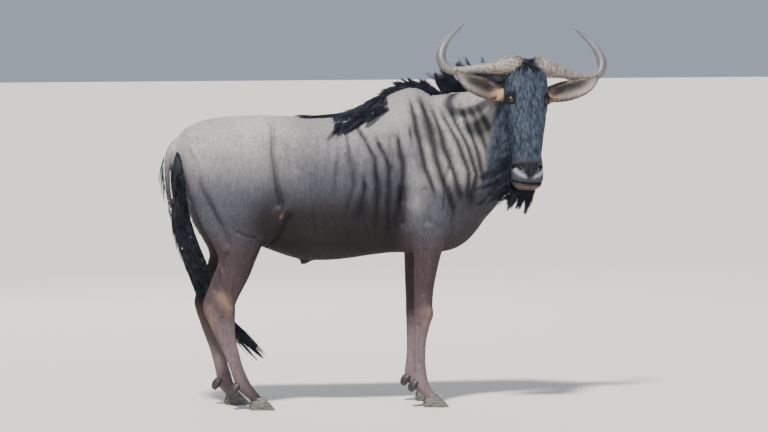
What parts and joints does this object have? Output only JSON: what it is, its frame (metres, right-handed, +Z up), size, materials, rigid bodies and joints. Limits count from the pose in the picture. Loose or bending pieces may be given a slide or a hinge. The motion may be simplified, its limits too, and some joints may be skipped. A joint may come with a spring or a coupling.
{
  "type": "wildebeest",
  "caption": "Standing bull wildebeest at life size, head turned to its right, with cow-like horns, a mane, a beard and a long tasselled tail; a still figure.",
  "frame": {"origin": "on the floor under the middle of the whole animal's box", "axes": "+X from the tail towards the shoulders, +Y to the animal's left, +Z up; the face looks towards -Y"},
  "size_m": [1.8396, 0.575, 1.578],
  "materials": {
    "coat": "short grey-brown fur with darker upright stripes",
    "leg_coat": "short dark brown fur",
    "face": "short blue-black fur, bare grey muzzle",
    "ear": "short tan fur, dark inside",
    "tail_hair": "long black hair",
    "horn": "satin grey horn, rough over the boss",
    "hoof": "dull grey horn",
    "eye": "wet dark brown"
  },
  "bodies": {
    "root": {"barrel": "coat", "ear_left": "ear", "ear_right": "ear", "eye_left": "eye", "eye_right": "eye", "foreleg_left_dewclaw_inner": "hoof", "foreleg_left_dewclaw_outer": "hoof", "foreleg_left_lower": "leg_coat", "foreleg_left_toe_inner": "hoof", "foreleg_left_toe_outer": "hoof", "foreleg_left_upper": "leg_coat", "foreleg_right_dewclaw_inner": "hoof", "foreleg_right_dewclaw_outer": "hoof", "foreleg_right_lower": "leg_coat", "foreleg_right_toe_inner": "hoof", "foreleg_right_toe_outer": "hoof", "foreleg_right_upper": "leg_coat", "head": "face", "hindleg_left_dewclaw_inner": "hoof", "hindleg_left_dewclaw_outer": "hoof", "hindleg_left_lower": "leg_coat", "hindleg_left_toe_inner": "hoof", "hindleg_left_toe_outer": "hoof", "hindleg_left_upper": "leg_coat", "hindleg_right_dewclaw_inner": "hoof", "hindleg_right_dewclaw_outer": "hoof", "hindleg_right_lower": "leg_coat", "hindleg_right_toe_inner": "hoof", "hindleg_right_toe_outer": "hoof", "hindleg_right_upper": "leg_coat", "hindquarters": "coat", "horn_left": "horn", "horn_right": "horn", "neck": "coat", "shoulders": "coat", "tail_dock": "coat", "tail_tuft": "tail_hair"}
  },
  "joints": []
}
